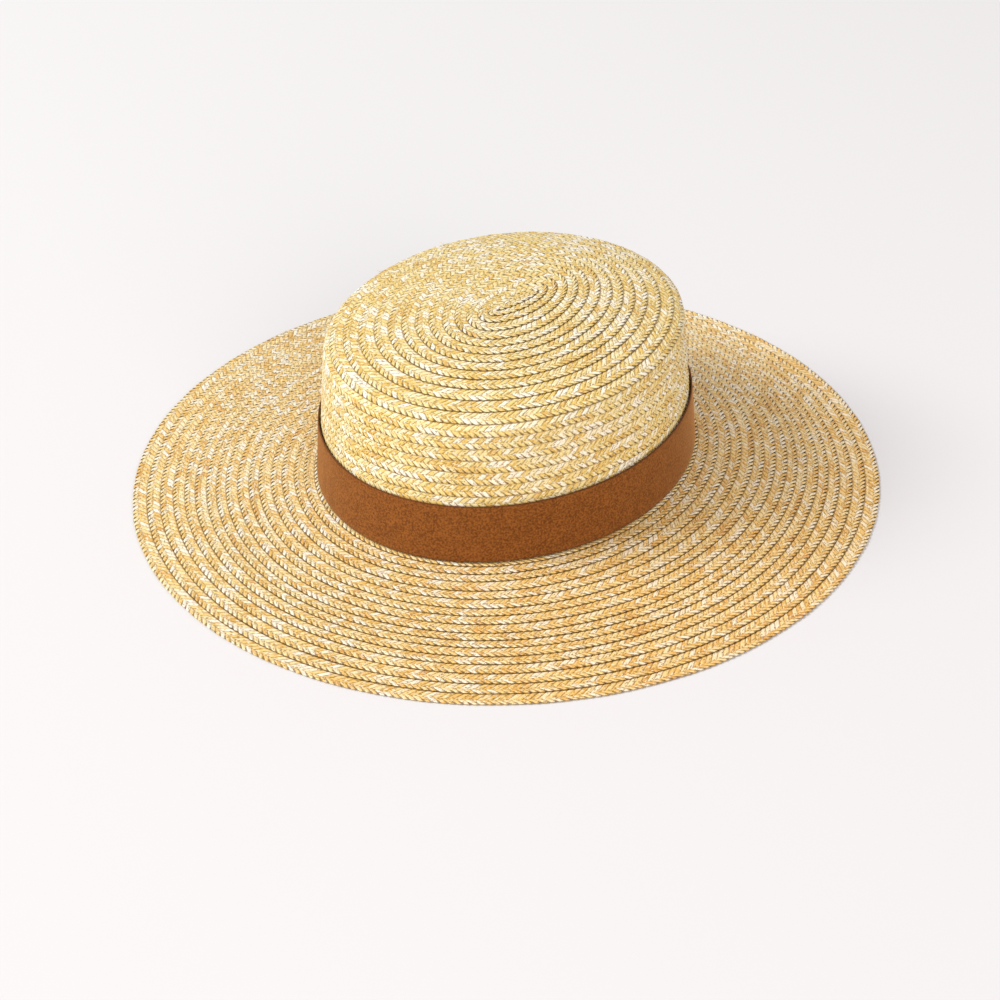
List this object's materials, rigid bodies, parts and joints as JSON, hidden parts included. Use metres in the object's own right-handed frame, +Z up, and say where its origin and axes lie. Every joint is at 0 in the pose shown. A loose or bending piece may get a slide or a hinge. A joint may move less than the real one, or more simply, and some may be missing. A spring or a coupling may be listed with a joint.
{
  "type": "flat-top straw hat",
  "caption": "Wide-brimmed flat-top hat of sewn straw braid, with a plain matte ribbon round the foot of its shallow oval crown.",
  "frame": {"origin": "on the floor under the middle of the brim", "axes": "+Z up through the crown; the long way of the hat, front to back, along Y with the front at -Y"},
  "size_m": [0.3552, 0.3828, 0.0946],
  "materials": {
    "crown_straw": "natural straw braid, satin",
    "brim_straw": "natural straw braid, satin",
    "ribbon": "matte brown suede-like ribbon"
  },
  "bodies": {
    "root": {"crown": "crown_straw", "brim": "brim_straw", "hatband": "ribbon"}
  },
  "joints": []
}
